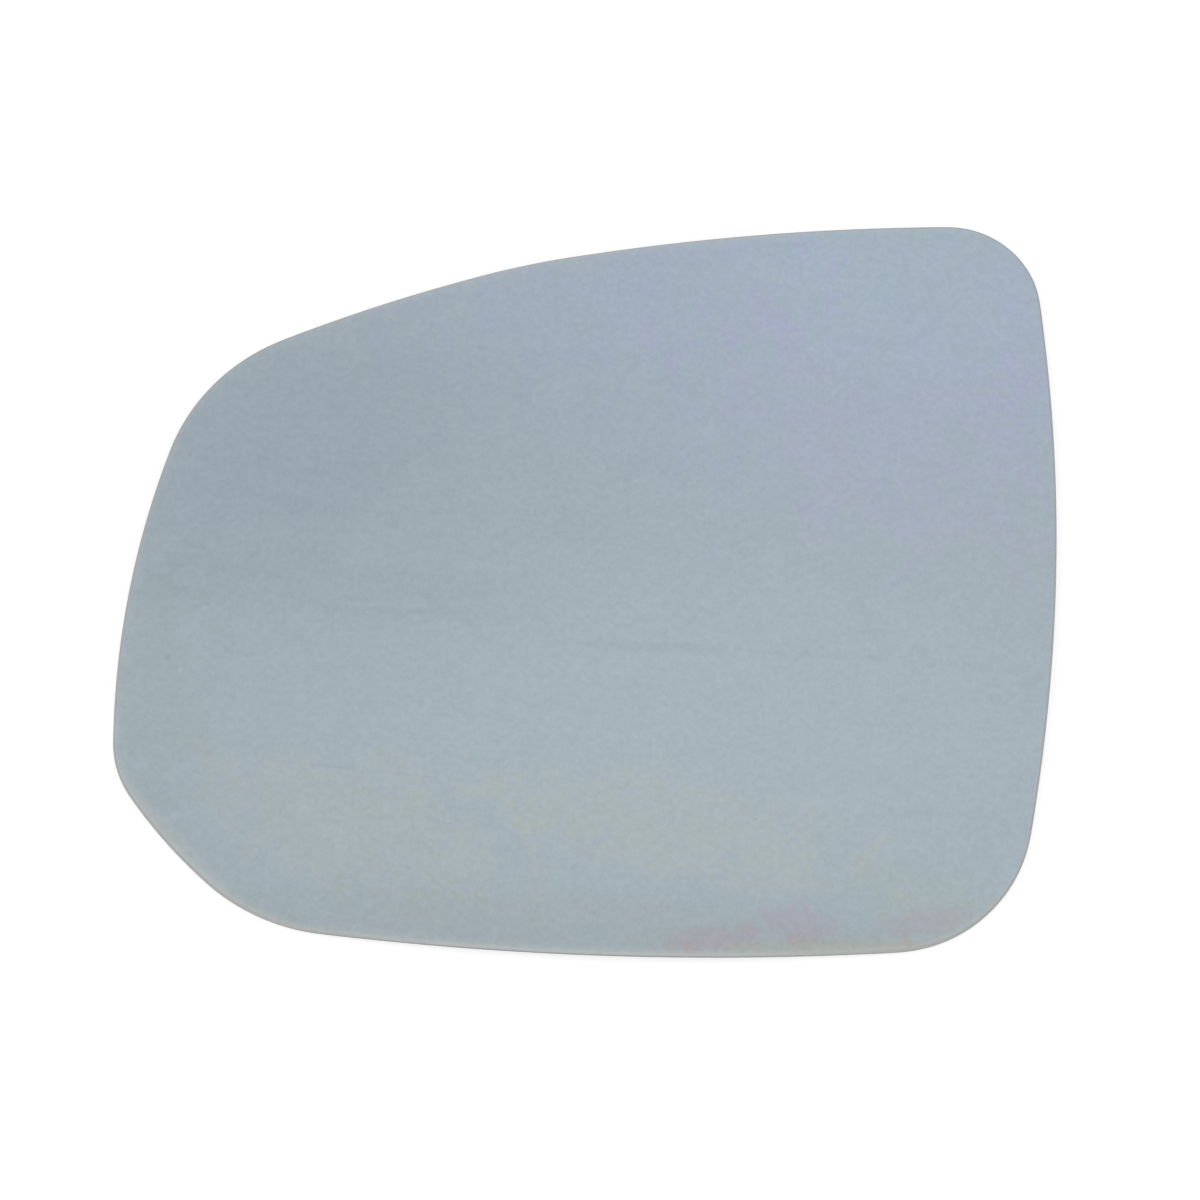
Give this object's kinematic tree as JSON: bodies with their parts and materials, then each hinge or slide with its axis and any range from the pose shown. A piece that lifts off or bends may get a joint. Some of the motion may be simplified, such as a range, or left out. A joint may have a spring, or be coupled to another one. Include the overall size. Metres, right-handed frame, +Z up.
{
  "type": "car door mirror glass",
  "caption": "Convex glass of a left-hand door mirror, lying on its back: one domed sheet with a rounded, lopsided outline, silvered face, ground edges and painted back.",
  "frame": {"origin": "under the middle of the glass, in the plane that it rests on", "axes": "+Z up, out of the mirror face; +X inboard, towards the car, along the glass's longest way; +Y towards the edge that is uppermost on the car"},
  "size_m": [0.1848, 0.1522, 0.0059],
  "materials": {
    "mirror_glass": "silvered domed glass with faint wipe marks, a pale ground edge and grey paint on the back"
  },
  "bodies": {
    "root": {"mirror_glass": "mirror_glass"}
  },
  "joints": []
}
